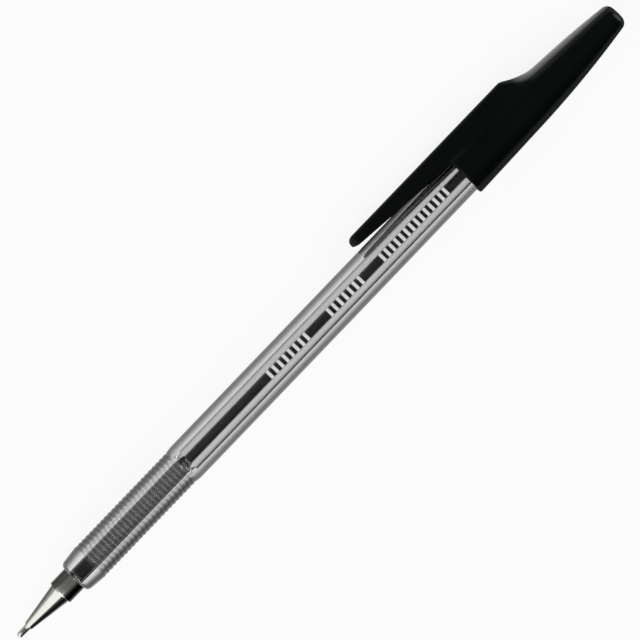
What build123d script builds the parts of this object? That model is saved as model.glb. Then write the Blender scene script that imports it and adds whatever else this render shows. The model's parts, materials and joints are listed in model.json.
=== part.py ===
from build123d import *
import math
import os

# Stick ballpoint pen, lying on a table with its cap posted on the tail.
# X runs along the pen with the writing point towards -X, and the table is Z = 0.
# Lengths are in millimetres, angles in degrees.

# Fits
running_clearance = 0.02
press_clearance = 0.01
refill_clearance = 0.15
post_clearance = 0.05
plug_clearance = 0.25
cut_overrun = 1.0

# Writing point: the ball and the turned tip that holds it
ball_diameter = 1.0
ball_showing = 0.3
tip_lip_wall = 0.08
tip_reach = 2.7
tip_shank_diameter = 1.28
tip_shank_length = 3.5
tip_flange_diameter = 1.9
tip_flange_length = 2.0
tip_channel_diameter = 0.7

# Plated nose cone and its collar
cone_front_diameter = 1.7
cone_base_diameter = 4.3
cone_length = 8.5
collar_diameter = 5.1
collar_length = 3.8
collar_chamfer = 0.25
cone_socket_diameter = 2.5

# Ink, tube and the moulded holder behind the cone
ink_diameter = 1.15
ink_ball_gap = 0.15
ink_air_length = 6.0
tube_diameter = 2.0
tube_insertion = 8.0
tube_tail_gap = 2.5
holder_diameter = 2.66
holder_length = 28.6
holder_slope_length = 1.5
holder_rear_wall = 0.12

# Clear barrel with a ringed grip
barrel_diameter = 8.0
barrel_length = 120.9
barrel_ledge = 0.2
barrel_nose_length = 1.2
barrel_nose_drop = 0.33
grip_offset = 4.2
grip_inset = 0.12
ring_pitch = 0.98
ring_count = 25
groove_depth = 0.14
grip_shoulder_length = 0.9
rear_bore_diameter = 4.5
bore_slope_length = 1.8
tail_draft_length = 43.0
tail_draft = 0.07
tail_chamfer = 0.3

# Plug in the barrel's tail
plug_length = 6.0
plug_flange_length = 1.2
plug_flange_chamfer = 0.3
plug_wall = 0.85
plug_end_length = 1.6
vent_diameter = 0.8

# Cap
cap_length = 41.4
post_depth = 17.5
cap_mouth_wall = 0.78
cap_shoulder_wall = 0.45
cap_lip_chamfer = 0.3
cap_seat_width = 0.4
cap_nose_diameter = 5.3
cap_end_radius = 1.0
cap_end_wall = 1.6
cap_core_length = 12.0
cap_core_diameter = 6.3
cap_core_end_diameter = 3.6

# Clip, one piece with the cap
clip_overhang = 23.8
clip_rise = 2.04
clip_flank_angle = 24.0
clip_flank_inset = 0.2
clip_tip_half_width = 1.2
clip_root_half_width = 1.5
clip_tip_depth = 1.95
clip_tip_setback = 0.25
clip_tip_round = 1.4
clip_mouth_depth = 4.0
clip_tip_gap = 1.25
clip_mouth_gap = 0.35
clip_shoulder_offset = 16.7
clip_shoulder_radius = 0.5
clip_slope_length = 7.6
clip_slope_sink = 0.25
clip_slope_end_angle = 5.0
clip_edge_radius = 0.8

# Radii
ball_radius = ball_diameter / 2
socket_radius = ball_radius + running_clearance
shank_radius = tip_shank_diameter / 2
flange_radius = tip_flange_diameter / 2
channel_radius = tip_channel_diameter / 2
cone_socket_radius = cone_socket_diameter / 2
collar_radius = collar_diameter / 2
ink_bore_radius = ink_diameter / 2
tube_radius = tube_diameter / 2
holder_radius = holder_diameter / 2
barrel_radius = barrel_diameter / 2
grip_radius = barrel_radius - grip_inset
front_bore_radius = holder_radius + refill_clearance
rear_bore_radius = rear_bore_diameter / 2
tail_radius = barrel_radius - tail_draft
cap_bore_radius = barrel_radius + post_clearance
cap_mouth_radius = cap_bore_radius + cap_mouth_wall
cap_shoulder_radius = cap_bore_radius + cap_shoulder_wall
cap_seat_radius = cap_bore_radius - cap_seat_width
cap_nose_radius = cap_nose_diameter / 2

# The clip's sides run down to the cap's tube at a slope that just meets it.
clip_height = cap_mouth_radius + clip_rise
flank_slope = math.tan(math.radians(clip_flank_angle))
flank_cosine = math.cos(math.radians(clip_flank_angle))
clip_half_width = cap_mouth_radius / flank_cosine - clip_height * flank_slope - clip_flank_inset
clip_foot_height = cap_mouth_radius * math.sin(math.radians(clip_flank_angle))

# The pen rolls until the cap's rim and the rounded edge of its clip both touch the table.
edge_centre_height = clip_height - clip_edge_radius
edge_centre_side = clip_half_width + clip_edge_radius * (flank_slope - 1 / flank_cosine)
edge_centre_reach = math.hypot(edge_centre_height, edge_centre_side)
roll = math.asin((cap_mouth_radius - clip_edge_radius) / edge_centre_reach)
roll = roll - math.atan2(edge_centre_side, edge_centre_height)
clip_reach = edge_centre_height * math.cos(roll) + edge_centre_side * math.sin(roll) + clip_edge_radius

# The origin lies on the table, under the middle of the pen's box.
axis_y = (cap_mouth_radius - clip_reach) / 2
axis_z = cap_mouth_radius
overall_length = tip_reach + cone_length + collar_length + barrel_length - post_depth + cap_length

# Stations along the pen, from the writing point to the cap's end
point_x = -overall_length / 2
cone_x = point_x + tip_reach
collar_x = cone_x + cone_length
barrel_x = collar_x + collar_length
tail_x = barrel_x + barrel_length
cap_x = tail_x - post_depth
cap_end_x = cap_x + cap_length

lip_x = point_x + ball_showing
ball_x = point_x + ball_radius
flange_x = cone_x + tip_shank_length
spigot_x = flange_x + tip_flange_length
grip_x = barrel_x + grip_offset
grip_end_x = grip_x + ring_pitch * ring_count
slope_x = barrel_x + holder_length
holder_end_x = slope_x + holder_slope_length
tube_x = holder_end_x - tube_insertion
plug_x = tail_x - plug_length
tube_end_x = plug_x - tube_tail_gap
draft_x = tail_x - tail_draft_length
clip_tip_x = cap_x - clip_overhang
shoulder_x = cap_x + clip_shoulder_offset
slope_end_x = shoulder_x + clip_slope_length

# Profiles lie in a plane through the pen's axis, with local y towards the clip.
clip_direction = Vector(0, math.cos(roll), -math.sin(roll))
side_direction = Vector(0, math.sin(roll), math.cos(roll))
pen_axis = Axis((0, axis_y, axis_z), (1, 0, 0))
pen_plane = Plane((0, axis_y, axis_z), x_dir=(1, 0, 0), z_dir=side_direction)
clip_plane = Plane(
    Vector(0, axis_y, axis_z) + clip_direction * clip_height,
    x_dir=(1, 0, 0),
    z_dir=clip_direction,
)
clip_axis = Axis((0, axis_y, axis_z), clip_direction)
side_axis = Axis((0, axis_y, axis_z), side_direction)

os.makedirs("parts", exist_ok=True)

# Writing ball
with BuildPart(Plane((ball_x, axis_y, axis_z))) as ball:
    Sphere(radius=ball_radius)
ball.part.label = "ball"
export_step(ball.part, "parts/ball.step")

# Turned tip: a round seat behind the ball, a lip in front of it and a flange inside the cone
seat_front_radius = math.sqrt(socket_radius**2 - (ball_x - lip_x) ** 2)
seat_rear_x = ball_x + math.sqrt(socket_radius**2 - channel_radius**2)
with BuildPart() as ball_tip:
    with BuildSketch(pen_plane):
        with BuildLine():
            Polyline(
                (lip_x, seat_front_radius),
                (lip_x, seat_front_radius + tip_lip_wall),
                (cone_x, shank_radius),
                (flange_x, shank_radius),
                (flange_x, flange_radius),
                (spigot_x, flange_radius),
                (spigot_x, channel_radius),
                (seat_rear_x, channel_radius),
            )
            ThreePointArc(
                (seat_rear_x, channel_radius),
                (ball_x, socket_radius),
                (lip_x, seat_front_radius),
            )
        make_face()
    revolve(axis=pen_axis)
ball_tip.part.label = "ball_tip"
export_step(ball_tip.part, "parts/ball_tip.step")

# Nose cone, bored in steps for the tip's shank, its flange and the holder's spigot
with BuildPart() as nose_cone:
    with BuildSketch(pen_plane):
        with BuildLine():
            Polyline(
                (cone_x, cone_front_diameter / 2),
                (collar_x, cone_base_diameter / 2),
                (collar_x, collar_radius - collar_chamfer),
                (collar_x + collar_chamfer, collar_radius),
                (barrel_x, collar_radius),
                (barrel_x, cone_socket_radius),
                (spigot_x, cone_socket_radius),
                (spigot_x, flange_radius + press_clearance),
                (flange_x, flange_radius + press_clearance),
                (flange_x, shank_radius + press_clearance),
                (cone_x, shank_radius + press_clearance),
                close=True,
            )
        make_face()
    revolve(axis=pen_axis)
nose_cone.part.label = "nose_cone"
export_step(nose_cone.part, "parts/nose_cone.step")

# Tip holder: spigot in the cone, straight body, sloped rear end with a socket for the tube
with BuildPart() as tip_holder:
    with BuildSketch(pen_plane):
        with BuildLine():
            Polyline(
                (spigot_x, ink_bore_radius),
                (spigot_x, cone_socket_radius - press_clearance),
                (barrel_x, cone_socket_radius - press_clearance),
                (barrel_x, holder_radius),
                (slope_x, holder_radius),
                (holder_end_x, tube_radius + press_clearance + holder_rear_wall),
                (holder_end_x, tube_radius + press_clearance),
                (tube_x, tube_radius + press_clearance),
                (tube_x, ink_bore_radius),
                close=True,
            )
        make_face()
    revolve(axis=pen_axis)
tip_holder.part.label = "tip_holder"
export_step(tip_holder.part, "parts/tip_holder.step")

# Ink tube
with BuildPart() as ink_tube:
    with BuildSketch(Plane((tube_x, axis_y, axis_z), x_dir=(0, 1, 0), z_dir=(1, 0, 0))):
        Circle(tube_radius)
        Circle(ink_bore_radius, mode=Mode.SUBTRACT)
    extrude(amount=tube_end_x - tube_x)
ink_tube.part.label = "ink_tube"
export_step(ink_tube.part, "parts/ink_tube.step")

# Ink: a thin thread through the tip, then a column through the holder and the tube
with BuildPart() as ink:
    with BuildSketch(pen_plane):
        with BuildLine():
            Polyline(
                (ball_x + ball_radius + ink_ball_gap, 0),
                (ball_x + ball_radius + ink_ball_gap, channel_radius - press_clearance),
                (spigot_x, channel_radius - press_clearance),
                (spigot_x, ink_bore_radius - press_clearance),
                (tube_end_x - ink_air_length, ink_bore_radius - press_clearance),
                (tube_end_x - ink_air_length, 0),
                close=True,
            )
        make_face()
    revolve(axis=pen_axis)
ink.part.label = "ink"
export_step(ink.part, "parts/ink.step")

# Barrel: rounded front, ringed grip, plain shaft and a slightly drafted tail
barrel_face_radius = collar_radius + barrel_ledge
nose_end_x = barrel_x + barrel_nose_length
nose_end_radius = grip_radius - barrel_nose_drop
nose_slope = (grip_radius - nose_end_radius) / (grip_x - nose_end_x)
with BuildPart() as barrel:
    with BuildSketch(pen_plane):
        with BuildLine():
            TangentArc(
                (nose_end_x, nose_end_radius),
                (barrel_x, barrel_face_radius),
                tangent=(-1, -nose_slope),
            )
            Polyline(
                (nose_end_x, nose_end_radius),
                (grip_x, grip_radius),
                (grip_end_x, grip_radius),
                (grip_end_x + grip_shoulder_length, barrel_radius),
                (draft_x, barrel_radius),
                (tail_x - tail_chamfer, tail_radius),
                (tail_x, tail_radius - tail_chamfer),
                (tail_x, rear_bore_radius),
                (slope_x + bore_slope_length, rear_bore_radius),
                (slope_x, front_bore_radius),
                (barrel_x, front_bore_radius),
                (barrel_x, barrel_face_radius),
            )
        make_face()
    revolve(axis=pen_axis)
    with BuildSketch(pen_plane):
        with Locations(((grip_x + grip_end_x) / 2, grip_radius)):
            with GridLocations(ring_pitch, ring_pitch, ring_count, 1):
                Polygon(
                    (-ring_pitch / 2, 0),
                    (0, -groove_depth),
                    (ring_pitch / 2, 0),
                    (0, groove_depth),
                    align=None,
                )
    revolve(axis=pen_axis, mode=Mode.SUBTRACT)
barrel.part.label = "barrel"
export_step(barrel.part, "parts/barrel.step")

# Tail plug: a hollow spigot in the bore, a flange on the tail and a vent
plug_radius = rear_bore_radius - press_clearance
plug_flange_radius = cap_seat_radius - plug_clearance
plug_end_x = tail_x + plug_flange_length
with BuildPart() as tail_plug:
    with BuildSketch(pen_plane):
        with BuildLine():
            Polyline(
                (plug_x, plug_radius - plug_wall),
                (plug_x, plug_radius),
                (tail_x, plug_radius),
                (tail_x, plug_flange_radius),
                (plug_end_x - plug_flange_chamfer, plug_flange_radius),
                (plug_end_x, plug_flange_radius - plug_flange_chamfer),
                (plug_end_x, vent_diameter / 2),
                (plug_end_x - plug_end_length, vent_diameter / 2),
                (plug_end_x - plug_end_length, plug_radius - plug_wall),
                close=True,
            )
        make_face()
    revolve(axis=pen_axis)
tail_plug.part.label = "tail_plug"
export_step(tail_plug.part, "parts/tail_plug.step")

# Cap: tapered tube, rounded nose and a tongue-shaped clip that grows out of its side
tube_slope = (cap_mouth_radius - cap_shoulder_radius) / clip_shoulder_offset
nose_start = (shoulder_x, cap_shoulder_radius)
nose_end = (cap_end_x - cap_end_radius, cap_nose_radius)
clip_corner = (clip_tip_x + clip_tip_setback, clip_height - clip_tip_depth)
slope_end = (slope_end_x, cap_shoulder_radius - tube_slope * clip_slope_length - clip_slope_sink)
slope_end_rise = math.tan(math.radians(clip_slope_end_angle))
root_top = math.hypot(clip_height, clip_half_width)
plan_front_x = clip_tip_x - cut_overrun
plan_rear_x = slope_end_x + cut_overrun
with BuildPart() as cap:
    # The clip's outline seen from the side
    with BuildSketch(pen_plane):
        with BuildLine():
            TangentArc((clip_tip_x + clip_tip_round, clip_height), clip_corner, tangent=(-1, 0))
            Polyline(
                (clip_tip_x + clip_tip_round, clip_height),
                (slope_end_x, clip_height),
                (slope_end_x, clip_foot_height),
                (cap_x, clip_foot_height),
                (cap_x, clip_height - clip_mouth_depth),
                clip_corner,
            )
        make_face()
    extrude(amount=cap_mouth_radius, both=True)
    # The same clip seen from above, with sides that flare downwards
    with BuildSketch(clip_plane):
        with BuildLine():
            near_side = ThreePointArc(
                (plan_front_x, clip_tip_half_width),
                (cap_x, clip_half_width),
                (plan_rear_x, clip_root_half_width),
            )
            far_side = ThreePointArc(
                (plan_front_x, -clip_tip_half_width),
                (cap_x, -clip_half_width),
                (plan_rear_x, -clip_root_half_width),
            )
            Line(near_side @ 0, far_side @ 0)
            Line(near_side @ 1, far_side @ 1)
        make_face()
    extrude(amount=-clip_height, taper=-clip_flank_angle, mode=Mode.INTERSECT)
    # Rounded edges round the clip's tip and along its top
    clip_flanks = cap.faces().sort_by(side_axis)
    upper_edges = [face.edges().sort_by(clip_axis)[-2:] for face in (clip_flanks[0], clip_flanks[-1])]
    fillet(upper_edges[0] + upper_edges[1], clip_edge_radius)
    # The clip's root slopes down round the pen's axis until it sinks into the nose
    with BuildSketch(pen_plane):
        with BuildLine():
            TangentArc(slope_end, (shoulder_x, root_top), tangent=(-1, slope_end_rise))
            Polyline(
                (shoulder_x, root_top),
                (plan_rear_x, root_top),
                (plan_rear_x, slope_end[1]),
                slope_end,
            )
        make_face()
    revolve(axis=pen_axis, mode=Mode.SUBTRACT)
    root_face = cap.faces().filter_by(GeomType.TORUS).sort_by(Axis.X)[-1]
    fillet(root_face.edges().sort_by(Axis.X)[:-1], clip_shoulder_radius)
    # Room between the clip and the barrel, widening towards the clip's tip
    with BuildSketch(pen_plane):
        with BuildLine():
            Polyline(
                (plan_front_x, 0),
                (plan_front_x, barrel_radius + clip_tip_gap),
                (clip_tip_x, barrel_radius + clip_tip_gap),
                (cap_x, barrel_radius + clip_mouth_gap),
                (cap_x, 0),
                close=True,
            )
        make_face()
    revolve(axis=pen_axis, mode=Mode.SUBTRACT)
    # Tube and nose
    with BuildSketch(pen_plane):
        with BuildLine():
            Polyline(
                (cap_x, 0),
                (cap_x, cap_mouth_radius - cap_lip_chamfer),
                (cap_x + cap_lip_chamfer, cap_mouth_radius),
                nose_start,
            )
            nose = TangentArc(nose_start, nose_end, tangent=(1, -tube_slope))
            end_round = TangentArc(
                nose_end,
                (cap_end_x, cap_nose_radius - cap_end_radius),
                tangent=nose % 1,
            )
            Polyline(end_round @ 1, (cap_end_x, 0), (cap_x, 0))
        make_face()
    revolve(axis=pen_axis)
    # Bore for the barrel, a seat for the tail's edge and the hollow nose
    with BuildSketch(pen_plane):
        with BuildLine():
            Polyline(
                (cap_x, 0),
                (cap_x, cap_bore_radius + cap_lip_chamfer),
                (cap_x + cap_lip_chamfer, cap_bore_radius),
                (tail_x, cap_bore_radius),
                (tail_x, cap_seat_radius),
                (tail_x + cap_core_length, cap_core_diameter / 2),
                (cap_end_x - cap_end_wall, cap_core_end_diameter / 2),
                (cap_end_x - cap_end_wall, 0),
                close=True,
            )
        make_face()
    revolve(axis=pen_axis, mode=Mode.SUBTRACT)
cap.part.label = "cap"
export_step(cap.part, "parts/cap.step")
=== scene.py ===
import json
import math
import bmesh
import bpy
from mathutils import Matrix, Vector


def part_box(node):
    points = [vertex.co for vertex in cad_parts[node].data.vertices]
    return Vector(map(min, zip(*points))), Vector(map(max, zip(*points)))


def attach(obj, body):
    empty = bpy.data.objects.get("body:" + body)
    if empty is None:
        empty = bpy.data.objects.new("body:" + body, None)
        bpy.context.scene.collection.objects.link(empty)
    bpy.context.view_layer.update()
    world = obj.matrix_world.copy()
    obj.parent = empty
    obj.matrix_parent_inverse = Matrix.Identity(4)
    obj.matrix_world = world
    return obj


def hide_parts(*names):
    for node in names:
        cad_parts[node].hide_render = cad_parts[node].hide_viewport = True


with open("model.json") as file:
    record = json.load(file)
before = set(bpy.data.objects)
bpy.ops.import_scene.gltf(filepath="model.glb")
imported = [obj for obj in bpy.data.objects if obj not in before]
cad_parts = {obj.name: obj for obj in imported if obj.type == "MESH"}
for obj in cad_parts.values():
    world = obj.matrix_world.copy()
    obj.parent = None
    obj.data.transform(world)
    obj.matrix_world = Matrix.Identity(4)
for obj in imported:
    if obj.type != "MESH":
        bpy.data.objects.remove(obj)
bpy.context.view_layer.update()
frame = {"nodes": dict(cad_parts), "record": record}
mm = 0.001
touch = 0.001 * mm  # closer than this counts as one place
print("pen frame loaded:", ", ".join(frame["nodes"]))

# the pen's axis, and the way its clip points, from the two mounts
mountAt = {m["name"]: Vector(m["pos_m"]) for m in frame["record"]["mounts"]}
penWay = Vector((1, 0, 0))
penAxis = Vector((0, mountAt["barrel_shaft"].y, mountAt["barrel_shaft"].z))
clipWay = mountAt["pocket_clip"] - penAxis
clipWay.x = 0
clipWay.normalize()
sideWay = penWay.cross(clipWay)  # square to the clip, towards the camera


def penPoint(x, out, side=0.0):  # a station, a reach towards the clip and one towards the camera
    return penAxis + penWay * x + clipWay * out + sideWay * side


def stations(node):  # where a node starts and ends along the pen
    low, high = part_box(node)
    return low.x, high.x


def radiiOf(node, start, end):  # smallest and largest radius of a node between two stations
    found = []
    for corner in frame["nodes"][node].data.vertices:
        if start - touch <= corner.co.x <= end + touch:
            found.append(math.hypot(corner.co.y - penAxis.y, corner.co.z - penAxis.z))
    return min(found), max(found)


def swung(arm, turn):  # a flat arm swung through an angle
    c, s = math.cos(turn), math.sin(turn)
    return Vector((arm.x * c - arm.y * s, arm.x * s + arm.y * c))


def softened(points, steps=5):  # a third number on a point rounds that corner
    sideShare = 0.48  # most of a side that one corner may take
    run = []
    for i, point in enumerate(points):
        here = Vector(point[:2])
        if len(point) == 2:
            run.append(here)
            continue
        back = Vector(points[i - 1][:2]) - here
        ahead = Vector(points[(i + 1) % len(points)][:2]) - here
        half = back.angle(ahead) / 2
        trim = min(point[2] / math.tan(half), sideShare * back.length, sideShare * ahead.length)
        back.normalize()
        ahead.normalize()
        middle = here + (back + ahead).normalized() * trim / math.cos(half)
        first = here + back * trim - middle
        sweep = first.angle_signed(here + ahead * trim - middle)
        run += [middle + swung(first, -sweep * k / steps) for k in range(steps + 1)]
    return run


def newPiece(name, shape, creaseAngle=33):  # an object with smooth faces and kept creases
    bmesh.ops.recalc_face_normals(shape, faces=shape.faces)
    mesh = bpy.data.meshes.new(name)
    shape.to_mesh(mesh)
    shape.free()
    mesh.shade_smooth()
    mesh.set_sharp_from_angle(angle=math.radians(creaseAngle))
    piece = bpy.data.objects.new(name, mesh)
    bpy.context.collection.objects.link(piece)
    return piece


def pointRow(shape, x, turns, radii):  # points round the axis at one station
    return [shape.verts.new(penPoint(x, r * math.cos(turn), r * math.sin(turn)))
            for turn, r in zip(turns, radii)]


def lathe(name, outline, count=160):  # a turned piece from its section, gone round once
    shape = bmesh.new()
    turns = [2 * math.pi * k / count for k in range(count)]
    rings = []
    for x, r in outline:
        if r < touch:
            rings.append([shape.verts.new(penPoint(x, 0))])
        else:
            rings.append(pointRow(shape, x, turns, [r] * count))
    for a, b in zip(rings, rings[1:] + rings[:1]):
        if len(a) == 1 and len(b) == 1:
            continue
        for k in range(count):
            n = (k + 1) % count
            if len(a) == 1:
                shape.faces.new((a[0], b[n], b[k]))
            elif len(b) == 1:
                shape.faces.new((a[k], a[n], b[0]))
            else:
                shape.faces.new((a[k], a[n], b[n], b[k]))
    return newPiece(name, shape)


def settle(piece, body, slotName, finish, *nodes):  # finish, body and the node it stands for
    piece.data.materials.append(finish)
    if nodes:
        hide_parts(*nodes)
    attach(piece, body)


# shading helpers

def feed(tree, node, inputs):  # links and plain values for a node's sockets
    for key, value in inputs.items():
        if isinstance(value, bpy.types.NodeSocket):
            tree.links.new(value, node.inputs[key])
        else:
            node.inputs[key].default_value = value


def addNode(tree, kind, inputs=None, **settings):
    node = tree.nodes.new(kind)
    for key, value in settings.items():
        setattr(node, key, value)
    feed(tree, node, inputs or {})
    return node


def mathNode(tree, operation, a, b=0.0, c=0.0, clamp=False):
    return addNode(tree, "ShaderNodeMath", {0: a, 1: b, 2: c}, operation=operation,
                   use_clamp=clamp).outputs[0]


def vectorNode(tree, operation, a, b=(0, 0, 0)):
    node = addNode(tree, "ShaderNodeVectorMath", {0: a, 1: b}, operation=operation)
    return node.outputs["Value" if operation in ("DOT_PRODUCT", "LENGTH") else "Vector"]


def noise(tree, vector, scale, detail):
    return addNode(tree, "ShaderNodeTexNoise",
                   {"Vector": vector, "Scale": scale, "Detail": detail}).outputs[0]


def mapped(tree, value, span, onto=(0.0, 1.0), **settings):  # one span of values onto another
    inputs = {"Value": value, "From Min": span[0], "From Max": span[1],
              "To Min": onto[0], "To Max": onto[1]}
    return addNode(tree, "ShaderNodeMapRange", inputs, **settings).outputs[0]


def ramp(tree, factor, stops):  # colours at places from 0 to 1
    node = addNode(tree, "ShaderNodeValToRGB", {0: factor})
    places = node.color_ramp.elements
    for k, (at, colour) in enumerate(stops):
        place = places[k] if k < len(places) else places.new(at)
        place.position = at
        place.color = (*colour, 1)
    return node.outputs[0]


def shadeBetween(tree, factor, dark, light, low=0.3, high=0.7):  # a drift between two shades
    return ramp(tree, factor, ((low, dark), (high, light)))


def turnedAway(tree, stops, turned):  # values from face-on to edge-on: in base colours a painted shade that darkens the edges, elsewhere roughness and coat weight
    return ramp(tree, turned, [(at, (shade, shade, shade)) for at, shade in stops])


def mixed(tree, factor, a, b, blend="MIX"):  # two colours
    return addNode(tree, "ShaderNodeMix", {"Factor": factor, 6: a, 7: b}, data_type="RGBA",
                   blend_type=blend).outputs[2]


def multiplied(tree, a, b):
    return mixed(tree, 1.0, a, b, "MULTIPLY")


def drift(tree, factor, a, b):  # a value that goes from a to b
    return addNode(tree, "ShaderNodeMix", {"Factor": factor, 2: a, 3: b},
                   data_type="FLOAT").outputs[0]


def dimmed(colour, share):
    return tuple(share * c for c in colour)


def bumped(tree, height, distance):  # a normal that follows a height
    return addNode(tree, "ShaderNodeBump",
                   {"Height": height, "Distance": distance, "Strength": 1.0}).outputs[0]


def placeOn(tree):  # a surface point's place, which moves with its piece
    return tree.nodes.new("ShaderNodeTexCoord").outputs["Object"]


def alongPen(tree):  # its station along the pen
    return addNode(tree, "ShaderNodeSeparateXYZ", {0: placeOn(tree)}).outputs["X"]


def fromAxis(tree):  # its place off the pen's axis
    return vectorNode(tree, "MULTIPLY", vectorNode(tree, "SUBTRACT", placeOn(tree), penAxis),
                      (0, 1, 1))


def nearAxis(tree, radius):  # 1 on surfaces closer to the pen's axis than radius
    return mathNode(tree, "LESS_THAN", vectorNode(tree, "LENGTH", fromAxis(tree)), radius)


def stretched(tree, stretch, scale):  # its place, scaled for a texture
    mapping = addNode(tree, "ShaderNodeMapping", {"Vector": placeOn(tree), "Scale": stretch})
    return addNode(tree, "ShaderNodeVectorMath", {0: mapping.outputs[0], "Scale": scale},
                   operation="SCALE").outputs[0]


def stretchMask(tree, start, end, blend):  # 1 between two stations along the pen
    x = alongPen(tree)
    into = mapped(tree, x, (start - blend, start + blend))
    outOf = mapped(tree, x, (end - blend, end + blend), (1.0, 0.0))
    return mathNode(tree, "MULTIPLY", into, outOf)


def worldWay(tree, vector):
    return addNode(tree, "ShaderNodeVectorTransform", {0: vectorNode(tree, "NORMALIZE", vector)},
                   vector_type="VECTOR", convert_from="OBJECT", convert_to="WORLD").outputs[0]


def edgeOn(tree, normal=None):  # 0 where the surface, or the given way, points at the eye
    way = {"Normal": normal} if normal else {}
    return addNode(tree, "ShaderNodeLayerWeight", {"Blend": 0.5, **way}).outputs["Facing"]


def faceOn(tree, normal=None):  # 1 there
    return mathNode(tree, "SUBTRACT", 1.0, edgeOn(tree, normal))


def roundTurn(tree):  # 0 on a round piece's middle line and 1 on its sides, from any end alike
    around = vectorNode(tree, "CROSS_PRODUCT", fromAxis(tree), penWay)
    out, side = faceOn(tree), faceOn(tree, worldWay(tree, around))
    both = mathNode(tree, "ADD", mathNode(tree, "MULTIPLY", out, out),
                    mathNode(tree, "MULTIPLY", side, side))
    both = mathNode(tree, "SQRT", mathNode(tree, "MINIMUM", both, 1.0))
    return mathNode(tree, "SUBTRACT", 1.0, mathNode(tree, "DIVIDE", out, both))


def leanAway(tree, least, gain):  # above 0 where a ring's flank leans away from the eye
    lean = mathNode(tree, "SUBTRACT", faceOn(tree, worldWay(tree, fromAxis(tree))), faceOn(tree))
    over = mathNode(tree, "MAXIMUM", mathNode(tree, "SUBTRACT", lean, least), 0.0)
    return mathNode(tree, "MULTIPLY", over, gain)


def ringCrest(tree, start, pitch):  # 1 on the grip's crests and 0 in its grooves
    turns = mathNode(tree, "DIVIDE", mathNode(tree, "SUBTRACT", alongPen(tree), start), pitch)
    doubled = mathNode(tree, "MULTIPLY", mathNode(tree, "FRACT", turns), 2.0)
    return mathNode(tree, "ABSOLUTE", mathNode(tree, "SUBTRACT", doubled, 1.0))


# node groups that several finishes share

def newGroup(name, inputs, outputs):  # a group of number sockets, with its two ends
    group = bpy.data.node_groups.new(name, "ShaderNodeTree")
    for key, value in inputs.items():
        socket = group.interface.new_socket(name=key, in_out="INPUT",
                                            socket_type="NodeSocketFloat")
        socket.default_value = value
    for key in outputs:
        group.interface.new_socket(name=key, in_out="OUTPUT", socket_type="NodeSocketFloat")
    return group, group.nodes.new("NodeGroupInput"), group.nodes.new("NodeGroupOutput")


handlingForm = dict(
    stretch=(260, 2600, 2600),
    lineDetail=4.0,
    lines=(0.62, 0.74),  # noise that shows as scratches
    lineShare=0.5,
    patchScale=130.0,
    patchDetail=5.0,
    patches=(0.4, 0.72),
    patchShare=0.45,
)


def handlingGroup():  # fine scratches that lie mostly along the pen, and rubbed patches
    f = handlingForm
    group, inside, outside = newGroup("handlingMarks", {"Scale": 1.0, "Calm": 0.1, "Worn": 0.3},
                                      ("Roughness", "Scratches"))
    size = stretched(group, f["stretch"], inside.outputs["Scale"])
    lines = mapped(group, noise(group, size, 1.0, f["lineDetail"]), f["lines"])
    rubbed = noise(group, placeOn(group), f["patchScale"], f["patchDetail"])
    patches = mapped(group, rubbed, f["patches"])
    mask = mathNode(group, "MAXIMUM", mathNode(group, "MULTIPLY", lines, f["lineShare"]),
                    mathNode(group, "MULTIPLY", patches, f["patchShare"]), clamp=True)
    calm = inside.outputs["Calm"]
    span = mathNode(group, "SUBTRACT", inside.outputs["Worn"], calm)
    feed(group, outside, {"Roughness": mathNode(group, "MULTIPLY_ADD", mask, span, calm),
                          "Scratches": lines})
    return group


def turningGroup():  # the lathe's fine rings round the pen's axis, with their pitch in mm
    group, inside, outside = newGroup("turningRings", {"Pitch": 0.05}, ("Rings",))
    count = mathNode(group, "DIVIDE", mathNode(group, "MULTIPLY", alongPen(group), 1 / mm),
                     inside.outputs["Pitch"])
    rings = addNode(group, "ShaderNodeTexNoise", {"W": count, "Scale": 1.0, "Detail": 3.0},
                    noise_dimensions="1D")
    feed(group, outside, {"Rings": rings.outputs[0]})
    return group


mouldForm = dict(stretch=(60, 220, 220), waveDetail=2.0, grainScale=22.0, grainDetail=3.0,
                 grainShare=0.12)


def mouldGroup():  # the faint unevenness of a moulded skin
    f = mouldForm
    group, inside, outside = newGroup("mouldSkin", {"Scale": 1.0}, ("Height", "Shade"))
    size = stretched(group, f["stretch"], inside.outputs["Scale"])
    waves = noise(group, size, 1.0, f["waveDetail"])
    grain = noise(group, size, f["grainScale"], f["grainDetail"])
    feed(group, outside, {"Height": mathNode(group, "MULTIPLY_ADD", grain, f["grainShare"], waves),
                          "Shade": waves})
    return group


handlingMarks = handlingGroup()
turningRings = turningGroup()
mouldSkin = mouldGroup()
print("shared surface groups built")


# kinds of finish

def newFinish(name):
    finish = bpy.data.materials.new(name)
    finish.use_nodes = True
    return finish, finish.node_tree, finish.node_tree.nodes["Principled BSDF"]


def useGroup(tree, group, **values):
    return addNode(tree, "ShaderNodeGroup", values, node_tree=group)


def showMix(tree, share, shader, other):  # the surface shows a share of another shader
    mix = addNode(tree, "ShaderNodeMixShader",
                  {0: share, 1: shader.outputs[0], 2: other.outputs[0]})
    feed(tree, tree.nodes["Material Output"], {"Surface": mix.outputs[0]})


def letLampsThrough(tree, shader, tint):  # lamps shine through a clear wall
    rays = tree.nodes.new("ShaderNodeLightPath")
    clear = addNode(tree, "ShaderNodeBsdfTransparent", {"Color": (*tint, 1)})
    showMix(tree, rays.outputs["Is Shadow Ray"], shader, clear)


plasticForm = dict(
    ior=1.49,
    skinDepth=0.004 * mm,
    dull=((0.30, 0.0), (0.60, 1.0)),  # a black skin is dull where it is seen edge-on
    dullRough=0.9,
    clearShade=0.95,  # darkest drift of a clear wall
)


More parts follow.
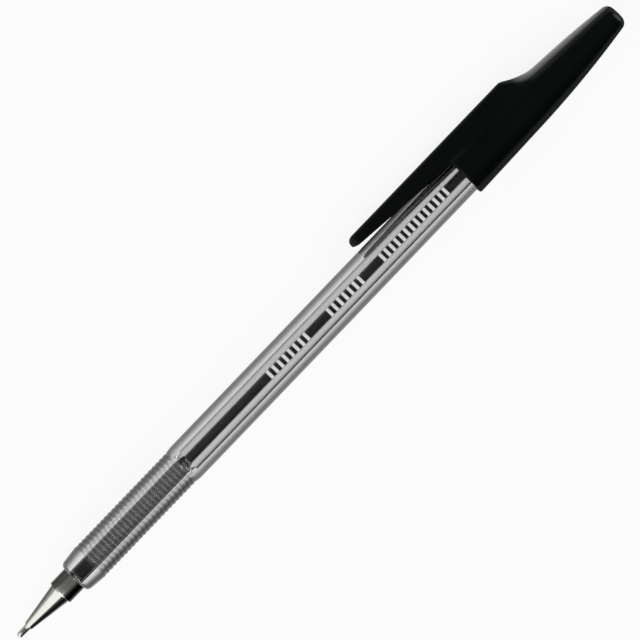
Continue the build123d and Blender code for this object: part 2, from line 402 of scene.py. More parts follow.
def blackPlastic(name, dark, light, calm, worn, skin, specular, polish=None):
    finish, tree, shader = newFinish(name)
    marks = useGroup(tree, handlingMarks, Calm=calm, Worn=worn)
    mould = useGroup(tree, mouldSkin, Scale=skin)
    dull = turnedAway(tree, plasticForm["dull"], edgeOn(tree))
    feed(tree, shader, {
        "Base Color": shadeBetween(tree, mould.outputs["Shade"], dark, light),
        "Roughness": drift(tree, dull, marks.outputs["Roughness"], plasticForm["dullRough"]),
        "Normal": bumped(tree, mould.outputs["Height"], plasticForm["skinDepth"]),
        "IOR": plasticForm["ior"],
        "Specular IOR Level": specular,
    })
    if polish:  # the clip's side of the nose, rubbed shiny by the thumb
        height = vectorNode(tree, "DOT_PRODUCT", fromAxis(tree), clipWay)
        radius = mapped(tree, alongPen(tree), (polish["start"], polish["end"]),
                        (polish["startRadius"], polish["endRadius"]))
        rise = mapped(tree, mathNode(tree, "DIVIDE", height, radius),
                      (polish["low"], polish["high"]))
        mask = stretchMask(tree, polish["start"], polish["end"] + 2 * polish["blend"],
                           polish["blend"])
        feed(tree, shader, {
            "Coat Weight": mathNode(tree, "MULTIPLY", rise, mask),
            "Coat IOR": polish["ior"],
            "Coat Roughness": polish["roughness"],
        })
    return finish


def clearPlastic(name, clear, edges, calm, worn, shadowTint, ior, ringed=None, bore=None):
    finish, tree, shader = newFinish(name)
    marks = useGroup(tree, handlingMarks, Calm=calm, Worn=worn)
    mould = useGroup(tree, mouldSkin, Scale=1.0)
    tint = shadeBetween(tree, mould.outputs["Shade"], dimmed(clear, plasticForm["clearShade"]),
                        clear)
    turned = roundTurn(tree)
    # painted shade: the wall's colour darkens where it is seen edge-on
    rough, paintedShade = marks.outputs["Roughness"], turnedAway(tree, edges, turned)
    if ringed:  # the rings' many small faces look hazy; painted shade darkens the grooves, and the painted dark sides close up sooner
        mask = stretchMask(tree, ringed["start"], ringed["end"], ringed["blend"])
        crest = ringCrest(tree, ringed["start"], ringed["pitch"])
        # painted shade: the colour is darker in the grooves than on the crests
        rings = shadeBetween(tree, crest, ringed["groove"], ringed["crest"], 0.0, 1.0)
        tint = mixed(tree, mask, tint, multiplied(tree, tint, rings))
        sides = stretchMask(tree, ringed["sidesFrom"], ringed["end"], ringed["blend"])
        leaning = mathNode(tree, "ADD", turned, leanAway(tree, *ringed["lean"]))
        paintedShade = mixed(tree, sides, paintedShade, turnedAway(tree, ringed["edges"], leaning))
        rough = mathNode(tree, "ADD", rough, mathNode(tree, "MULTIPLY", mask, ringed["haze"]))
        # the crests' pale sheen
        sheen = mathNode(tree, "MULTIPLY", drift(tree, crest, *ringed["sheen"]), mask)
        veil = mathNode(tree, "MULTIPLY", sheen, turnedAway(tree, ringed["veil"], turned))
        feed(tree, shader, {"Coat Weight": veil, "Coat IOR": ringed["veilIor"],
                            "Coat Roughness": ringed["veilRough"]})
    if bore:  # painted shade: the bore's wall keeps its colour until it is seen almost edge-on, then darkens
        paintedShade = mixed(tree, nearAxis(tree, bore["radius"]), paintedShade,
                    turnedAway(tree, bore["edges"], turned))
    feed(tree, shader, {
        "Base Color": multiplied(tree, tint, paintedShade),
        "Roughness": rough,
        "Normal": bumped(tree, mould.outputs["Height"], plasticForm["skinDepth"]),
        "Transmission Weight": 1.0,
        "IOR": ior,
    })
    letLampsThrough(tree, shader, shadowTint)
    return finish


def turnedMetal(name, dark, light, edges, calm, worn, pitch, depth, band=None, skin=3.0):
    finish, tree, shader = newFinish(name)
    marks = useGroup(tree, handlingMarks, Calm=calm, Worn=worn)
    rings = useGroup(tree, turningRings, Pitch=pitch)
    mould = useGroup(tree, mouldSkin, Scale=skin)
    tint = shadeBetween(tree, mould.outputs["Shade"], dark, light)
    turned = roundTurn(tree)
    # painted shade: the metal's colour darkens where it is seen edge-on
    paintedShade = turnedAway(tree, edges, turned)
    if band:  # painted shade: over a stretch the colour darkens sooner towards its sides
        mask = stretchMask(tree, band["start"], band["end"], band["blend"])
        paintedShade = mixed(tree, mask, paintedShade, turnedAway(tree, band["edges"], turned))
    feed(tree, shader, {
        "Base Color": multiplied(tree, tint, paintedShade),
        "Roughness": marks.outputs["Roughness"],
        "Normal": bumped(tree, rings.outputs["Rings"], depth),
        "Metallic": 1.0,
    })
    return finish


# barrel: a clear tube with a rounded front, a ringed grip and a stepped bore
barrelStart, barrelEnd = stations("barrel")
barrelForm = dict(
    noseLength=1.2 * mm,  # rounded front
    noseSteps=12,
    gripFrom=4.2 * mm,
    ringPitch=0.98 * mm,
    ringCount=25,
    ringDepth=0.14 * mm,
    ringCurve=1.2,  # above 1 rounds the crests
    ringSteps=10,  # points in one ring
    shoulder=0.9 * mm,  # from the grip up to the plain shaft
    boreStepFrom=28.6 * mm,
    boreStep=1.8 * mm,
    boreRound=0.4 * mm,
    tailDraft=43.0 * mm,
    tailRound=0.3 * mm,
    turns=192,
)
gripStart = barrelStart + barrelForm["gripFrom"]
gripEnd = gripStart + barrelForm["ringPitch"] * barrelForm["ringCount"]
boreStep = barrelStart + barrelForm["boreStepFrom"]
frontBore, faceRadius = radiiOf("barrel", barrelStart, barrelStart)
rearBore, shaftRadius = radiiOf("barrel", boreStep + barrelForm["boreStep"], barrelEnd)
gripRadius = radiiOf("barrel", gripEnd - 10 * touch, gripEnd)[1]
noseEnd = barrelStart + barrelForm["noseLength"]
noseRadius = radiiOf("barrel", noseEnd, noseEnd)[1]
tailRadius = radiiOf("barrel", barrelEnd, barrelEnd)[1] + barrelForm["tailRound"]
gripLookAndPaintedShade = dict(
    start=gripStart,
    end=gripEnd,
    sidesFrom=barrelStart - 1 * mm,  # the painted dark sides close up from the barrel's front on
    blend=0.4 * mm,
    pitch=barrelForm["ringPitch"],
    # crest and groove colours: painted shade in the grooves
    crest=(0.93, 0.93, 0.96),
    groove=(0.56, 0.56, 0.59),
    haze=0.09,
    lean=(0.045, 1.6),  # least lean that counts, and its gain
    sheen=(0.3, 1.7),  # in the grooves and on the crests
    edges=((0.12, 1.0), (0.20, 0.60), (0.28, 0.11), (0.45, 0.01)),
    veil=((0.08, 0.28), (0.3, 0.0)),
    veilIor=2.6,
    veilRough=0.45,
)
borePaintedShade = dict(radius=3.1 * mm, edges=((0.26, 1.0), (0.46, 0.55), (0.62, 0.12), (0.85, 0.02)))
barrelClear = clearPlastic("barrelClear", clear=(0.78, 0.77, 0.77),
                           edges=((0.10, 1.0), (0.22, 0.62), (0.35, 0.17), (0.52, 0.02)),
                           calm=0.01, worn=0.05, shadowTint=(0.8, 0.8, 0.8),
                           ior=plasticForm["ior"], ringed=gripLookAndPaintedShade, bore=borePaintedShade)


def barrelOutline():
    f = barrelForm
    run = []
    # the rounded front is a quarter of an oval that ends on the slope behind it
    for k in range(f["noseSteps"] + 1):
        turn = math.pi / 2 * k / f["noseSteps"]
        run.append((noseEnd - f["noseLength"] * math.cos(turn),
                    faceRadius + (noseRadius - faceRadius) * math.sin(turn)))
    run.append((gripStart, gripRadius))
    for ring in range(f["ringCount"]):
        for k in range(1, f["ringSteps"] + 1):
            part = k / f["ringSteps"]
            dip = f["ringDepth"] * (1 - abs(2 * part - 1)) ** f["ringCurve"]
            run.append((gripStart + f["ringPitch"] * (ring + part), gripRadius - dip))
    run += softened([
        (gripEnd + f["shoulder"], shaftRadius),
        (barrelEnd - f["tailDraft"], shaftRadius),
        (barrelEnd, tailRadius, f["tailRound"]),
        (barrelEnd, rearBore),
        (boreStep + f["boreStep"], rearBore, f["boreRound"]),
        (boreStep, frontBore, f["boreRound"]),
        (barrelStart, frontBore),
    ])
    return run


settle(lathe("barrel_tube", barrelOutline(), barrelForm["turns"]), "barrel", "clear_plastic",
       barrelClear, "barrel")
print("barrel turned, rings:", barrelForm["ringCount"])

# nose cone: plated, with a wider collar against the barrel
coneStart, coneEnd = stations("nose_cone")
tipStart, tipEnd = stations("ball_tip")
coneForm = dict(
    collar=3.8 * mm,
    shankLength=3.5 * mm,
    edge=0.1 * mm,
    chamfer=0.25 * mm,
    foot=2.15 * mm,
    fit=0.01 * mm,
)
collarStart = coneEnd - coneForm["collar"]
coneSocket, collarRadius = radiiOf("nose_cone", coneEnd, coneEnd)
coneHole, coneLip = radiiOf("nose_cone", coneStart, coneStart)
flangeStart = coneStart + coneForm["shankLength"]
flangeRadius = radiiOf("ball_tip", tipEnd, tipEnd)[1]
# the collar's painted shade sets in sooner towards its sides
collarPaintedShade = dict(start=collarStart, end=coneEnd + 2 * mm, blend=0.05 * mm,
                  edges=((0.03, 1.0), (0.10, 0.6), (0.15, 0.13), (0.45, 0.04)))
coneMetal = turnedMetal("coneMetal", dark=(0.60, 0.61, 0.545), light=(0.67, 0.68, 0.615),
                        edges=((0.10, 1.0), (0.22, 0.42), (0.55, 0.06)),
                        calm=0.12, worn=0.28, pitch=0.09, depth=0.0010 * mm, band=collarPaintedShade)


def coneOutline():
    f = coneForm
    return softened([
        (coneStart, coneHole),
        (coneStart, coneLip, f["edge"]),
        (collarStart, f["foot"], f["edge"]),
        (collarStart, collarRadius, f["chamfer"]),
        (coneEnd, collarRadius, f["edge"]),
        (coneEnd, coneSocket),
        (tipEnd, coneSocket),
        (tipEnd, flangeRadius + f["fit"]),
        (flangeStart, flangeRadius + f["fit"]),
        (flangeStart, coneHole),
    ])


settle(lathe("nose_cone_plated", coneOutline()), "refill", "plated_metal", coneMetal, "nose_cone")

# turned tip that holds the ball
ballStart, ballEnd = stations("ball")
ballRadius = (ballEnd - ballStart) / 2
ballMiddle = (ballEnd + ballStart) / 2
tipForm = dict(
    socketGap=0.02 * mm,
    channel=0.35 * mm,
    lipWall=0.08 * mm,
    lipRound=0.03 * mm,
    groove=0.05 * mm,
    grooveAt=(0.7 * mm, 0.62 * mm, 0.45 * mm, 0.37 * mm),  # its corners, in front of the cone
    fit=0.01 * mm,
    cornerSteps=3,
    seatSteps=14,
)
# its colour carries painted shade towards its edges
tipMetal = turnedMetal("tipMetal", dark=(0.62, 0.61, 0.55), light=(0.72, 0.71, 0.65),
                       edges=((0.10, 1.0), (0.3, 0.5), (0.7, 0.15)),
                       calm=0.14, worn=0.3, pitch=0.06, depth=0.0012 * mm)


def tipOutline():
    f = tipForm
    shank = coneHole - f["fit"]
    seat = ballRadius + f["socketGap"]
    seatFront = math.sqrt(seat ** 2 - (ballMiddle - tipStart) ** 2)
    seatRear = ballMiddle + math.sqrt(seat ** 2 - f["channel"] ** 2)
    taper = (shank - seatFront - f["lipWall"]) / (coneStart - tipStart)
    grooveX = [coneStart - ahead for ahead in f["grooveAt"]]
    run = softened([
        (tipStart, seatFront),
        (tipStart, seatFront + f["lipWall"], f["lipRound"]),
        (grooveX[0], seatFront + f["lipWall"] + taper * (grooveX[0] - tipStart)),
        (grooveX[1], shank - f["groove"]),
        (grooveX[2], shank - f["groove"]),
        (grooveX[3], shank),
        (flangeStart, shank),
        (flangeStart, flangeRadius),
        (tipEnd, flangeRadius),
        (tipEnd, f["channel"]),
    ], f["cornerSteps"])
    first = math.acos((seatRear - ballMiddle) / seat)
    last = math.acos((tipStart - ballMiddle) / seat)
    for k in range(f["seatSteps"]):
        turn = first + (last - first) * k / f["seatSteps"]
        run.append((ballMiddle + seat * math.cos(turn), seat * math.sin(turn)))
    return run


insideTurns = 96  # points round the point and the pieces inside the pen
settle(lathe("ball_tip_turned", tipOutline(), insideTurns), "refill", "tip_metal", tipMetal,
       "ball_tip")

# the writing ball
ballForm = dict(steps=40, turns=80)
# its colour carries painted shade towards its edges
ballMetal = turnedMetal("ballMetal", dark=(0.30, 0.30, 0.31), light=(0.42, 0.42, 0.43),
                        edges=((0.2, 1.0), (0.8, 0.5)),
                        calm=0.08, worn=0.2, pitch=0.2, depth=0.0002 * mm)
ballRun = [(ballMiddle - ballRadius * math.cos(math.pi * k / ballForm["steps"]),
            ballRadius * math.sin(math.pi * k / ballForm["steps"]))
           for k in range(ballForm["steps"] + 1)]
settle(lathe("writing_ball", ballRun, ballForm["turns"]), "ball", "ball_metal", ballMetal, "ball")
print("point turned")

# holder, tube and ink, seen through the barrel
holderStart, holderEnd = stations("tip_holder")
tubeStart, tubeEnd = stations("ink_tube")
inkStart, inkEnd = stations("ink")
tubeBore, tubeRadius = radiiOf("ink_tube", tubeStart, tubeEnd)
holderRadius = radiiOf("tip_holder", barrelStart, holderEnd)[1]
holderForm = dict(slope=1.5 * mm, slopeRound=0.5 * mm, edge=0.12 * mm, rearWall=0.12 * mm,
                  fit=0.01 * mm)
holderBlack = blackPlastic("holderBlack", dark=(0.003, 0.004, 0.003), light=(0.006, 0.007, 0.006),
                           calm=0.38, worn=0.5, skin=2.0, specular=0.3)


def holderOutline():
    f = holderForm
    socket = tubeRadius + f["fit"]
    return softened([
        (holderStart, tubeBore),
        (holderStart, coneSocket - f["fit"], f["edge"]),
        (barrelStart, coneSocket - f["fit"]),
        (barrelStart, holderRadius),
        (holderEnd - f["slope"], holderRadius, f["slopeRound"]),
        (holderEnd, socket + f["rearWall"]),
        (holderEnd, socket),
        (tubeStart, socket),
        (tubeStart, tubeBore),
    ])


settle(lathe("tip_holder_sleeve", holderOutline(), insideTurns), "refill", "holder_plastic",
       holderBlack, "tip_holder")

tubeForm = dict(edge=0.08 * mm, cornerSteps=3)
# its colour carries painted shade towards its edges
tubeClear = clearPlastic("tubeClear", clear=(0.9, 0.9, 0.88), edges=((0.2, 1.0), (0.8, 0.6)),
                         calm=0.08, worn=0.2, shadowTint=(0.8, 0.8, 0.78), ior=1.5)
tubeOutline = softened([
    (tubeStart, tubeBore),
    (tubeStart, tubeRadius),
    (tubeEnd, tubeRadius, tubeForm["edge"]),
    (tubeEnd, tubeBore, tubeForm["edge"]),
], tubeForm["cornerSteps"])
settle(lathe("ink_tube_clear", tubeOutline, insideTurns), "refill", "tube_plastic", tubeClear,
       "ink_tube")

inkForm = dict(
    wet=0.006 * mm,  # the column lies against the tube's wall
    wetFrom=0.05 * mm,
    fit=0.01 * mm,  # in front of the tube
    dish=0.35 * mm,
    steps=8,
)
inkBlack = blackPlastic("inkBlack", dark=(0.002, 0.0024, 0.003), light=(0.004, 0.005, 0.006),
                        calm=0.12, worn=0.2, skin=2.0, specular=0.3)


def inkOutline():
    f = inkForm
    radius = tubeBore + f["wet"]
    thread, neck = tipForm["channel"] - f["fit"], tubeBore - f["fit"]
    run = [(inkStart, 0), (inkStart, thread), (tipEnd, thread), (tipEnd, neck), (tubeStart, neck),
           (tubeStart + f["wetFrom"], radius), (inkEnd, radius)]
    for step in range(1, f["steps"] + 1):
        left = 1 - step / f["steps"]
        run.append((inkEnd - f["dish"] * (1 - left ** 2), radius * left))
    return run


settle(lathe("ink_column", inkOutline(), insideTurns), "refill", "ink", inkBlack, "ink")
print("refill filled")

# tail plug, hidden in the posted cap
plugStart, plugEnd = stations("tail_plug")
plugForm = dict(endWall=1.6 * mm, edge=0.3 * mm, skirtEdge=0.12 * mm, ventEdge=0.15 * mm)
plugBore, plugRadius = radiiOf("tail_plug", plugStart, plugStart)
plugFlange = radiiOf("tail_plug", barrelEnd, plugEnd)[1]
ventRadius = radiiOf("tail_plug", plugEnd, plugEnd)[0]
plugBlack = blackPlastic("plugBlack", dark=(0.004, 0.005, 0.005), light=(0.008, 0.009, 0.009),
                         calm=0.3, worn=0.45, skin=1.0, specular=0.4)
plugOutline = softened([
    (plugStart, plugBore),
    (plugStart, plugRadius, plugForm["skirtEdge"]),
    (barrelEnd, plugRadius),
    (barrelEnd, plugFlange),
    (plugEnd, plugFlange, plugForm["edge"]),
    (plugEnd, ventRadius, plugForm["ventEdge"]),
    (plugEnd - plugForm["endWall"], ventRadius),
    (plugEnd - plugForm["endWall"], plugBore),
])
settle(lathe("tail_plug_moulded", plugOutline, insideTurns), "barrel", "plug_plastic", plugBlack,
       "tail_plug")
print("tail plug moulded")

# cap: one moulded shell, a tapered tube with a rounded nose and the clip grown out of its side
capEnd = stations("cap")[1]
capForm = dict(
    length=41.4 * mm,
    mouthRadius=penAxis.z,  # the rim lies on the table
    lip=0.3 * mm,
    lipBend=(0.35, 0.3),  # shares of the lip, along and inwards
    shoulderAt=16.7 * mm,  # from the mouth
    shoulderRadius=4.5 * mm,
    noseRadius=2.69 * mm,
    endRound=1.35 * mm,
    bore=4.05 * mm,
    seat=3.65 * mm,
    coreLength=12.0 * mm,
    coreRadius=3.15 * mm,
    coreEnd=1.8 * mm,
    endWall=1.6 * mm,
    melt=0.25 * mm,  # softness where the clip's sides run into the tube
    turns=60,  # points round the tube beyond the clip's sides
    tubeSteps=18,
    noseSteps=60,
    endSteps=10,
    creaseAngle=38,
)
clipForm = dict(
    overhang=23.8 * mm,  # in front of the mouth
    height=6.87 * mm,  # from the pen's axis to the flat top
    flank=math.radians(24),  # how far the sides lean out
    plan=((-24.8 * mm, 1.2 * mm), (0.0, 2.03 * mm), (25.3 * mm, 1.5 * mm)),  # half widths
    edge=0.6 * mm,  # softness of the top's edges
    mouthFoot=2.87 * mm,  # lowest height of the sides
    tipFoot=4.92 * mm,
    mouthGap=0.35 * mm,
    tipGap=1.25 * mm,
    thin=0.06 * mm,  # least thickness
    tipStart=1.4 * mm,
    tipRound=1.31 * mm,
    planRound=1.5 * mm,  # the tip seen from above
    tipLeft=0.22,  # share of the width left at the very end
    slope=7.6 * mm,
    slopeSink=0.25 * mm,
    slopeEnd=math.tan(math.radians(5)),
    dive=2,  # how much steeper the root goes on under the nose
    sink=8 * mm,  # how fast the sides go under the tube
    core=0.5 * mm,
    shoulder=0.5 * mm,
    cornerMost=0.85,  # share of the half angle that the flat top may take
    edgeBand=math.radians(7),  # where points lie closer, at the top's two edges
    bandMost=0.6,
    topSteps=6,
    edgeSteps=10,
    sideSteps=14,
    rootSteps=60,
    freeSteps=30,
    tipSteps=10,
)
capPolish = dict(start=59 * mm, end=79 * mm, blend=2 * mm, startRadius=4.4 * mm,
                 endRadius=2.65 * mm, low=0.72, high=1.03, ior=2.8, roughness=0.25)
capBlack = blackPlastic("capBlack", dark=(0.0010, 0.0022, 0.0020), light=(0.0018, 0.0034, 0.0032),
                        calm=0.22, worn=0.36, skin=1.0, specular=0.16, polish=capPolish)
mouthX = capEnd - capForm["length"]
shoulderX = mouthX + capForm["shoulderAt"]
slopeEndX = shoulderX + clipForm["slope"]
flankSlope = math.tan(clipForm["flank"])


def bentRun(start, way, end, steps):  # an arc that leaves start along way and ends at end
    start, way, end = Vector(start), Vector(way).normalized(), Vector(end)
    across = Vector((-way.y, way.x))
    chord = end - start
    bow = chord.dot(across)
    middle = start + across * (chord.length_squared / (2 * bow))
    sweep = 2 * math.atan2(bow, chord.dot(way))
    return [middle + swung(start - middle, sweep * k / steps) for k in range(steps + 1)]


capTaper = (capForm["mouthRadius"] - capForm["shoulderRadius"]) / capForm["shoulderAt"]
noseRun = bentRun((shoulderX, capForm["shoulderRadius"]), (1, -capTaper),
                  (capEnd - capForm["endRound"], capForm["noseRadius"]), capForm["noseSteps"])
endRun = bentRun(noseRun[-1], noseRun[-1] - noseRun[-2],
                 (capEnd, capForm["noseRadius"] - capForm["endRound"]), capForm["endSteps"])
slopeFoot = capForm["shoulderRadius"] - capTaper * clipForm["slope"] - clipForm["slopeSink"]
rootTop = math.hypot(clipForm["height"], clipForm["plan"][1][1])
rootRun = bentRun((slopeEndX, slopeFoot), (-1, clipForm["slopeEnd"]), (shoulderX, rootTop),
                  clipForm["rootSteps"])


def rootReach(x):  # how far from the axis the clip's root may stand, beyond its shoulder
    if x <= shoulderX:
        return rootTop
    for far, near in zip(rootRun, rootRun[1:]):
        if near.x <= x <= far.x:
            return far.y + (near.y - far.y) * (x - far.x) / (near.x - far.x)
    return slopeFoot - clipForm["dive"] * (x - slopeEndX) * clipForm["slopeEnd"]


def planWidth(x):  # half width of the clip's top, a bow through three places
    (xa, wa), (xb, wb), (xc, wc) = clipForm["plan"]
    u = x - mouthX
    return (wa * (u - xb) * (u - xc) / ((xa - xb) * (xa - xc))
            + wb * (u - xa) * (u - xc) / ((xb - xa) * (xb - xc))
            + wc * (u - xa) * (u - xb) / ((xc - xa) * (xc - xb)))


def softMin(a, b, soft):
    near = max(soft - abs(a - b), 0) / soft
    return min(a, b) - near * near * soft / 4


def softMax(a, b, soft):
    return -softMin(-a, -b, soft)


def ridgeRadius(turn, x, top, width):  # the clip's skin from the axis, at an angle off its middle
    f = clipForm
    turn = abs(turn)
    square = math.pi / 2 - f["flank"]
    reach = width + f["height"] * flankSlope
    if turn > square:  # past the sides, sunk in the tube
        ridge = max(reach * math.cos(f["flank"]) - f["sink"] * (turn - square) ** 2, f["core"])
    else:
        side = reach / (math.sin(turn) + flankSlope * math.cos(turn))
        ridge = softMin(top / math.cos(turn), side, f["edge"])
    return softMin(ridge, rootReach(x), f["shoulder"]) if x > shoulderX else ridge


def clipTurns(foot, x, width):  # angles across the clip, closer at the top's two edges
    f = clipForm
    far = min(math.hypot(f["height"], width), rootReach(x))
    lean = (width + f["height"] * flankSlope) * math.cos(f["flank"]) / far
    corner = min(math.asin(min(lean, 1.0)) - f["flank"], f["cornerMost"] * foot)
    band = min(f["edgeBand"], f["bandMost"] * corner, f["bandMost"] * (foot - corner))
    half = []
    for a, b, steps in ((0, corner - band, f["topSteps"]),
                        (corner - band, corner + band, f["edgeSteps"]),
                        (corner + band, foot, f["sideSteps"])):
        half += [a + (b - a) * k / steps for k in range(steps)]
    half.append(foot)
    return [-t for t in reversed(half[1:])] + half


def clipFoot(x, width):  # angle at which the clip's side ends, in front of the mouth
    f = clipForm
    height = f["mouthFoot"] + (f["tipFoot"] - f["mouthFoot"]) * (mouthX - x) / f["overhang"]
    return math.atan2(width + (f["height"] - height) * flankSlope, height)


def bridge(shape, rowA, rowB, closed):
    count = len(rowA) if closed else len(rowA) - 1
    for k in range(count):
        n = (k + 1) % len(rowA)
        shape.faces.new((rowA[k], rowA[n], rowB[n], rowB[k]))


def closeEnd(shape, row, x):  # a fan of faces round the axis
    middle = shape.verts.new(penPoint(x, 0))
    for k in range(len(row)):
        shape.faces.new((row[k], row[(k + 1) % len(row)], middle))


def capShape():
    f, g = capForm, clipForm
    shape = bmesh.new()
    # skin from the mouth to the end, with the clip's root melted into it
    rim, lip = f["mouthRadius"], f["lip"]
    outline = [(mouthX, rim - lip),
               (mouthX + f["lipBend"][0] * lip, rim - f["lipBend"][1] * lip),
               (mouthX + lip, rim)]
    for k in range(1, f["tubeSteps"]):
        along = f["shoulderAt"] * k / f["tubeSteps"]
        outline.append((mouthX + along, rim - capTaper * along))
    outline += [(p.x, p.y) for p in noseRun + endRun[1:]]
    foot = clipFoot(mouthX, planWidth(mouthX))
    around = [foot + 2 * (math.pi - foot) * k / f["turns"] for k in range(1, f["turns"])]
    rows = []
    for x, tube in outline:
        width = planWidth(min(x, slopeEndX))
        turns = clipTurns(foot, x, width) + around
        radii = []
        for turn in turns:
            offMiddle = turn if turn <= math.pi else turn - 2 * math.pi
            radii.append(softMax(tube, ridgeRadius(offMiddle, x, g["height"], width), f["melt"]))
        rows.append(pointRow(shape, x, turns, radii))
    for a, b in zip(rows, rows[1:]):
        bridge(shape, a, b, True)
    closeEnd(shape, rows[-1], capEnd)
    # hollow for the barrel, its seat and the core behind it
    across = clipTurns(foot, mouthX, planWidth(mouthX))
    turns = across + around
    hollow = [
        (mouthX, f["bore"] + lip),
        (mouthX + lip, f["bore"]),
        (barrelEnd, f["bore"]),
        (barrelEnd, f["seat"]),
        (barrelEnd + f["coreLength"], f["coreRadius"]),
        (capEnd - f["endWall"], f["coreEnd"]),
    ]
    inner = [pointRow(shape, x, turns, [r] * len(turns)) for x, r in hollow]
    for a, b in zip(inner, inner[1:]):
        bridge(shape, a, b, True)
    closeEnd(shape, inner[-1], capEnd - f["endWall"])
    # rim of the mouth, left open where the clip goes on
    last = len(across) - 1
    bridge(shape, rows[0][last:] + rows[0][:1], inner[0][last:] + inner[0][:1], False)
    # free length of the clip, with its rounded tip
    tipX = mouthX - g["overhang"] + g["tipStart"]
    free = [(mouthX - (mouthX - tipX) * k / g["freeSteps"], g["height"])
            for k in range(1, g["freeSteps"])]
    for k in range(g["tipSteps"] + 1):
        turn = math.pi / 2 * k / g["tipSteps"]
        free.append((tipX - g["tipRound"] * math.sin(turn),
                     g["height"] - g["tipRound"] * (1 - math.cos(turn))))
    skin, under = rows[0][:last + 1], inner[0][:last + 1]
    for x, top in free:
        inset = max(1 - (x - free[-1][0]) / g["planRound"], 0)
        narrow = max(math.sqrt(1 - inset ** 2), g["tipLeft"])
        width = planWidth(x)
        turns = clipTurns(clipFoot(x, width), x, width)
        widening = (g["tipGap"] - g["mouthGap"]) * (mouthX - x) / g["overhang"]
        gap = shaftRadius + g["mouthGap"] + widening
        radii = [max(ridgeRadius(t, x, top, width), gap + g["thin"]) for t in turns]
        turns = [t * narrow for t in turns]
        nextSkin = pointRow(shape, x, turns, radii)
        nextUnder = pointRow(shape, x, turns, [gap] * len(turns))
        bridge(shape, skin, nextSkin, False)
        bridge(shape, under, nextUnder, False)
        for k in (0, last):
            shape.faces.new((skin[k], nextSkin[k], nextUnder[k], under[k]))
        skin, under = nextSkin, nextUnder
    bridge(shape, skin, under, False)
    return shape


settle(newPiece("cap_shell", capShape(), capForm["creaseAngle"]), "cap", "cap_plastic", capBlack,
       "cap")
print("cap moulded")

# stamped marks: plain bars in three rows along the side that faces the camera
stampForm = dict(  # lengths in mm
    rows=((-13.0, -2.7), (2.9, 11.7), (16.9, 34.3)),  # along the pen
    pitch=1.3,
    bar=0.62,
    height=1.75,
    proud=0.012,
    steps=10,
)


def printWhite(name, white, scratched, low, high, scale, calm, worn):
    finish, tree, shader = newFinish(name)
    marks = useGroup(tree, handlingMarks, Scale=scale, Calm=calm, Worn=worn)
    feed(tree, shader, {
        "Base Color": shadeBetween(tree, marks.outputs["Scratches"], white, scratched, low, high),
        "Roughness": marks.outputs["Roughness"],
    })
    return finish


stampWhite = printWhite("stampWhite", white=(0.86, 0.86, 0.85), scratched=(0.7, 0.7, 0.69),
                        low=0.2, high=0.9, scale=2.0, calm=0.4, worn=0.6)


def stampShape():
    f = stampForm
    shape = bmesh.new()
    for rowStart, rowEnd in f["rows"]:
        count = round((rowEnd - rowStart - f["bar"]) / f["pitch"])
        gap = (rowEnd - rowStart - f["bar"]) / count
        for bar in range(count + 1):
            x0 = (rowStart + gap * bar) * mm
            corners = []
            for x in (x0, x0 + f["bar"] * mm):
                for proud in (-f["proud"], f["proud"]):
                    radius = shaftRadius + proud * mm
                    row = []
                    for k in range(f["steps"] + 1):
                        turn = f["height"] * mm / shaftRadius * (k / f["steps"] - 0.5)
                        place = penPoint(x, radius * math.sin(turn), radius * math.cos(turn))
                        row.append(shape.verts.new(place))
                    corners.append(row)
            lowA, highA, lowB, highB = corners
            for a, b in ((lowA, highA), (highA, highB), (highB, lowB), (lowB, lowA)):
                bridge(shape, a, b, False)
            for k in (0, f["steps"]):
                shape.faces.new((lowA[k], highA[k], highB[k], lowB[k]))
    return shape


settle(newPiece("stamped_bars", stampShape()), "barrel", "clear_plastic", stampWhite)
print("marks stamped")

# floor: white paper that lights itself where it is seen
floorForm = dict(
    size=12.0,
    drop=0.02 * mm,
    pale=(0.95, 0.95, 0.95),
    fibreShade=0.99,
    fibreScale=900.0,
    fibreDetail=3.0,
    roughness=0.9,
    specular=0.1,
    glow=0.88,
)


def floorFinish():
    f = floorForm
    finish, tree, shader = newFinish("floorPaper")
    fibres = noise(tree, placeOn(tree), f["fibreScale"], f["fibreDetail"])
    feed(tree, shader, {
        "Base Color": shadeBetween(tree, fibres, dimmed(f["pale"], f["fibreShade"]), f["pale"]),
        "Roughness": f["roughness"],
        "Specular IOR Level": f["specular"],
    })
    rays = tree.nodes.new("ShaderNodeLightPath").outputs
    seen = mathNode(tree, "ADD", rays["Is Camera Ray"], rays["Is Glossy Ray"], clamp=True)
    seen = mathNode(tree, "ADD", seen, rays["Is Transmission Ray"], clamp=True)
    white = addNode(tree, "ShaderNodeEmission", {"Color": (1, 1, 1, 1), "Strength": 1.0})
    showMix(tree, mathNode(tree, "MULTIPLY", seen, f["glow"]), shader, white)
    return finish


floorMesh = bpy.data.meshes.new("floor")
half = floorForm["size"] / 2
floorMesh.from_pydata([(-half, -half, 0), (half, -half, 0), (half, half, 0), (-half, half, 0)],
                      [], [(0, 1, 2, 3)])
floorMesh.materials.append(floorFinish())
floor = bpy.data.objects.new("floor", floorMesh)
floor.location.z = -floorForm["drop"]
bpy.context.collection.objects.link(floor)

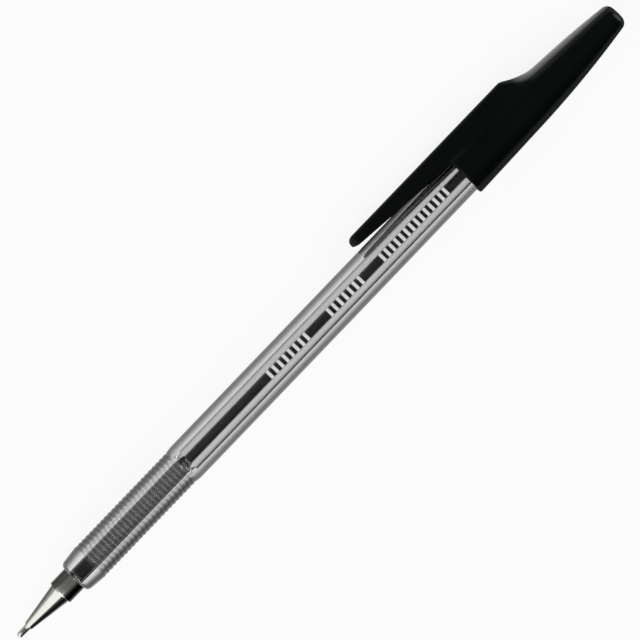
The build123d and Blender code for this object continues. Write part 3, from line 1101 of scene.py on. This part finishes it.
# studio light: a wide soft box over the tip, a low one off each end, and an even room
lightForm = dict(
    boxes=(
        dict(name="tipSideBox", way=(-0.60, 0.52, 0.68), away=0.55, size=(0.26, 0.92), share=0.19),
        dict(name="tipEndBox", way=(-0.90, -0.10, 0.42), away=0.60, size=(0.30, 0.60), share=0.31),
        dict(name="capEndBox", way=(0.90, -0.10, 0.42), away=0.60, size=(0.30, 0.60), share=0.31),
    ),
    room=dict(dark=0.02, light=0.17, low=-0.75, high=0.05),  # darker on the pen's near side
)
for box in lightForm["boxes"]:
    lamp = bpy.data.lights.new(box["name"], "AREA")
    lamp.shape = "RECTANGLE"
    lamp.size, lamp.size_y = box["size"]
    way = Vector(box["way"]).normalized()
    lamp.energy = box["share"] * (math.pi * box["away"]) ** 2 / way.z
    across = (penWay - way * way.dot(penWay)).normalized()
    stand = bpy.data.objects.new(box["name"], lamp)
    stand.matrix_world = (Matrix.Translation(way * box["away"])
                          @ Matrix((across, way.cross(across), way)).transposed().to_4x4())
    bpy.context.collection.objects.link(stand)

world = bpy.data.worlds.new("room")
bpy.context.scene.world = world
world.use_nodes = True
room, air = lightForm["room"], world.node_tree
view = addNode(air, "ShaderNodeSeparateXYZ",
               {0: air.nodes.new("ShaderNodeTexCoord").outputs["Generated"]})
level = mapped(air, view.outputs["Y"], (room["low"], room["high"]), (room["dark"], room["light"]),
               interpolation_type="SMOOTHSTEP")
feed(air, air.nodes["Background"], {"Color": (1, 1, 1, 1), "Strength": level})
print("floor and lamps set")

# camera: a long lens square to the clip's side, with the pen across the picture
cameraForm = dict(
    lens=300.0,
    sensor=36.0,
    clip=(0.01, 50),
    across=118.25 * mm,  # width of the picture, at the pen
    tilt=46.17,  # degrees
    centre=0.92 * mm,
    rise=0.30 * mm,
)
eye = bpy.data.cameras.new("eye")
eye.lens = cameraForm["lens"]
eye.sensor_width = cameraForm["sensor"]
eye.clip_start, eye.clip_end = cameraForm["clip"]
slant = math.radians(cameraForm["tilt"])
right = penWay * math.cos(slant) - clipWay * math.sin(slant)
up = penWay * math.sin(slant) + clipWay * math.cos(slant)
away = cameraForm["across"] / cameraForm["sensor"] * cameraForm["lens"]
spot = penPoint(cameraForm["centre"], cameraForm["rise"]) + sideWay * away
eyeStand = bpy.data.objects.new("eye", eye)
eyeStand.matrix_world = (Matrix.Translation(spot)
                         @ Matrix((right, up, sideWay)).transposed().to_4x4())
bpy.context.collection.objects.link(eyeStand)
bpy.context.scene.camera = eyeStand
bpy.context.scene.view_settings.view_transform = "Standard"
print("camera set, away:", round(away, 3))
